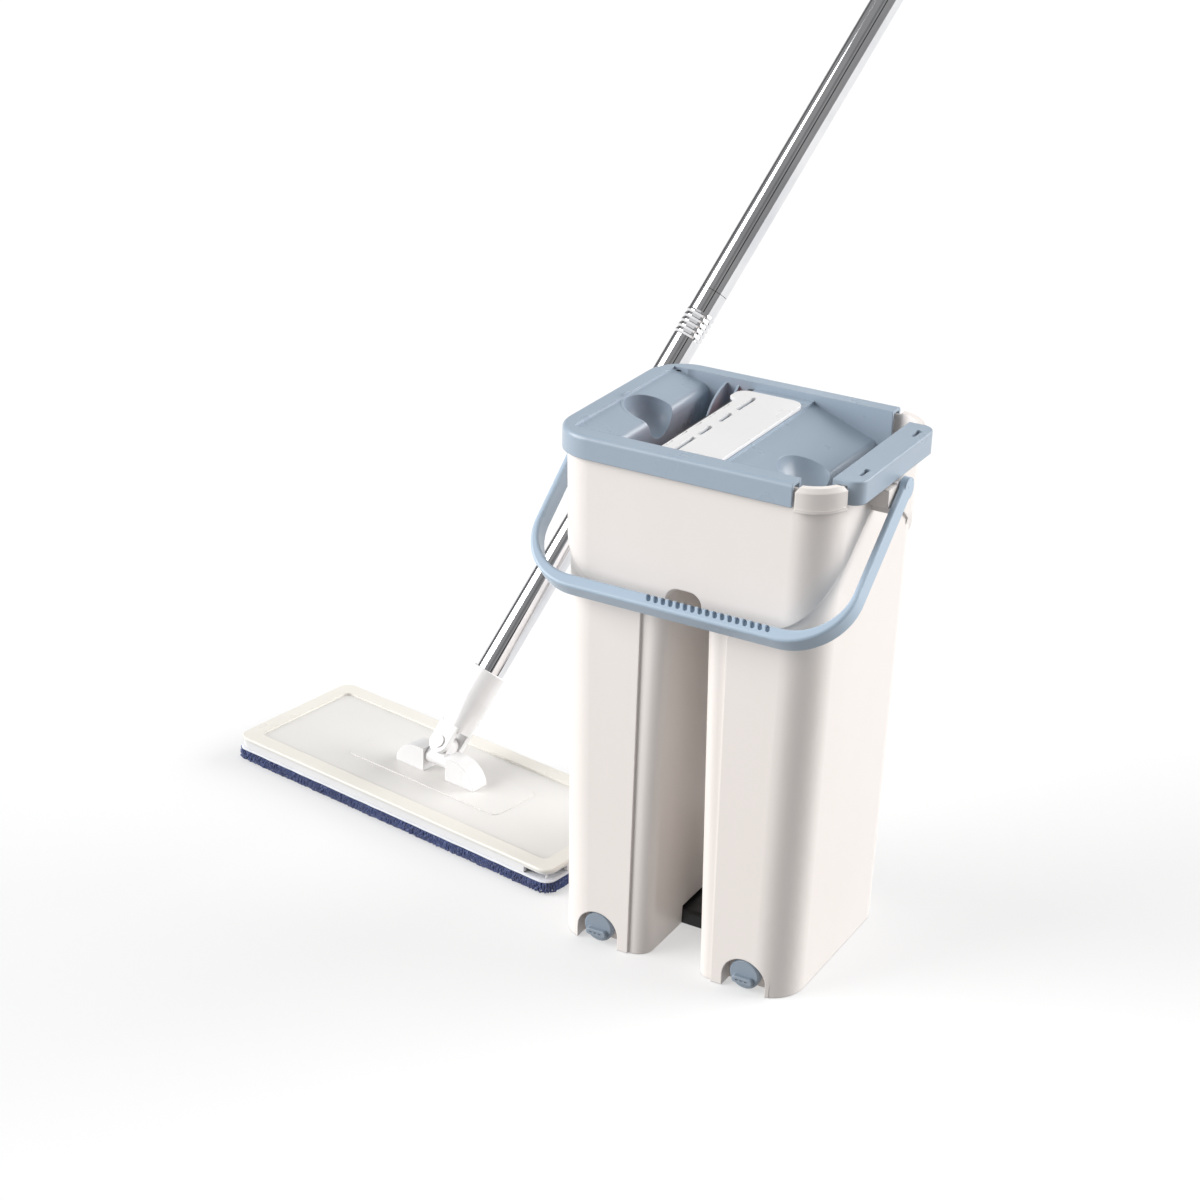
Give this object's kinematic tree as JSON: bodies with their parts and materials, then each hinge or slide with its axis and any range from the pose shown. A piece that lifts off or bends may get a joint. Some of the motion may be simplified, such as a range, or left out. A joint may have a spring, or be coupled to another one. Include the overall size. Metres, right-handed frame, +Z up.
{
  "type": "flat squeeze mop and bucket",
  "caption": "Flat microfibre mop on a jointed chrome pole, beside a tall bucket with a washing chamber, a wringing slot, a swinging handle and drain plugs.",
  "frame": {"origin": "on the floor under the middle of the bucket, on the foot pedal's underside", "axes": "+X to the right along the bucket's front, +Y to the back, +Z up"},
  "size_m": [0.5411, 0.8231, 1.0033],
  "materials": {
    "shell": "satin",
    "tray": "satin",
    "bail": "satin",
    "white": "satin",
    "cream": "satin",
    "panel": "fine texture",
    "knob": "satin",
    "lip": "silicone",
    "black_rubber": "fine texture",
    "chrome": "mirror",
    "steel": "plain",
    "grip": "satin",
    "joiner": "plain",
    "hook": "hook tape",
    "pad": "microfibre",
    "backing": "knitted"
  },
  "bodies": {
    "bucket": {"bucket_shell": "shell", "foot_pedal": "black_rubber", "pedal_screws": "steel", "side_bar": "tray"},
    "bail": {"bail_handle": "bail"},
    "lid": {"lid_tray": "tray", "wringer_plate": "white", "wringer_carrier": "joiner", "wringer_lip": "lip", "wringer_screws": "steel", "wash_scraper": "tray"},
    "left_plug": {"left_drain_plug": "knob", "left_drain_oring": "black_rubber"},
    "left_knob": {"left_drain_knob": "knob"},
    "right_plug": {"right_drain_plug": "knob", "right_drain_oring": "black_rubber"},
    "right_knob": {"right_drain_knob": "knob"},
    "pole": {"pole_sleeve": "white", "fork_pin": "white", "latch_spring": "steel", "lower_tube": "chrome", "middle_tube": "chrome", "upper_tube": "chrome", "lower_joiner": "joiner", "upper_joiner": "joiner", "top_grip": "grip"},
    "latch": {"latch_button": "white"},
    "yoke": {"yoke": "white"},
    "head": {"plate_base": "white", "plate_rim": "cream", "plate_panel": "panel", "axle_pin": "steel", "hook_strips": "hook", "pad_backing": "backing", "mop_pad": "pad"}
  },
  "joints": [
    {"name": "bail_swing", "type": "hinge", "parent": "bucket", "child": "bail", "pos_m": [0, 0, 0.349], "axis": [-1, 0, 0], "range_deg": [0, 260]},
    {"name": "lid_lift", "type": "slide", "parent": "bucket", "child": "lid", "axis": [0, 0, 1], "range_m": [0, 0.2]},
    {"name": "mop_lift", "type": "slide", "parent": "bucket", "child": "pole", "axis": [-0.5, 0, 0.866], "range_m": [0, 0.4]},
    {"name": "pole_tilt_sideways", "type": "hinge", "parent": "pole", "child": "yoke", "pos_m": [-0.25944, 0.04994, 0.03985], "axis": [0.1306, 0.7942, -0.5934], "range_deg": [-12, 46]},
    {"name": "pole_tilt_back", "type": "hinge", "parent": "yoke", "child": "head", "pos_m": [-0.2605, 0.0435, 0.031], "axis": [0.9867, -0.1623, 0], "range_deg": [-96, 34]},
    {"name": "latch_press", "type": "slide", "parent": "pole", "child": "latch", "axis": [-0.1306, -0.7942, 0.5934], "range_m": [0, 0.003], "stiffness_N_per_m": 400, "springref_m": -0.002, "deforming": ["latch_spring"]},
    {"name": "left_plug_out", "type": "slide", "parent": "bucket", "child": "left_plug", "axis": [0, -1, 0], "range_m": [0, 0.005]},
    {"name": "left_knob_turn", "type": "hinge", "parent": "left_plug", "child": "left_knob", "pos_m": [-0.0559, -0.07, 0.0125], "axis": [0, 1, 0], "range_deg": [0, 90]},
    {"name": "right_plug_out", "type": "slide", "parent": "bucket", "child": "right_plug", "axis": [0, -1, 0], "range_m": [0, 0.005]},
    {"name": "right_knob_turn", "type": "hinge", "parent": "right_plug", "child": "right_knob", "pos_m": [0.0559, -0.07, 0.0125], "axis": [0, 1, 0], "range_deg": [0, 90]}
  ],
  "couplings": [
    {"joint": "left_plug_out", "follows": "left_knob_turn", "m_per_rad": 0.00318},
    {"joint": "right_plug_out", "follows": "right_knob_turn", "m_per_rad": 0.00318}
  ]
}
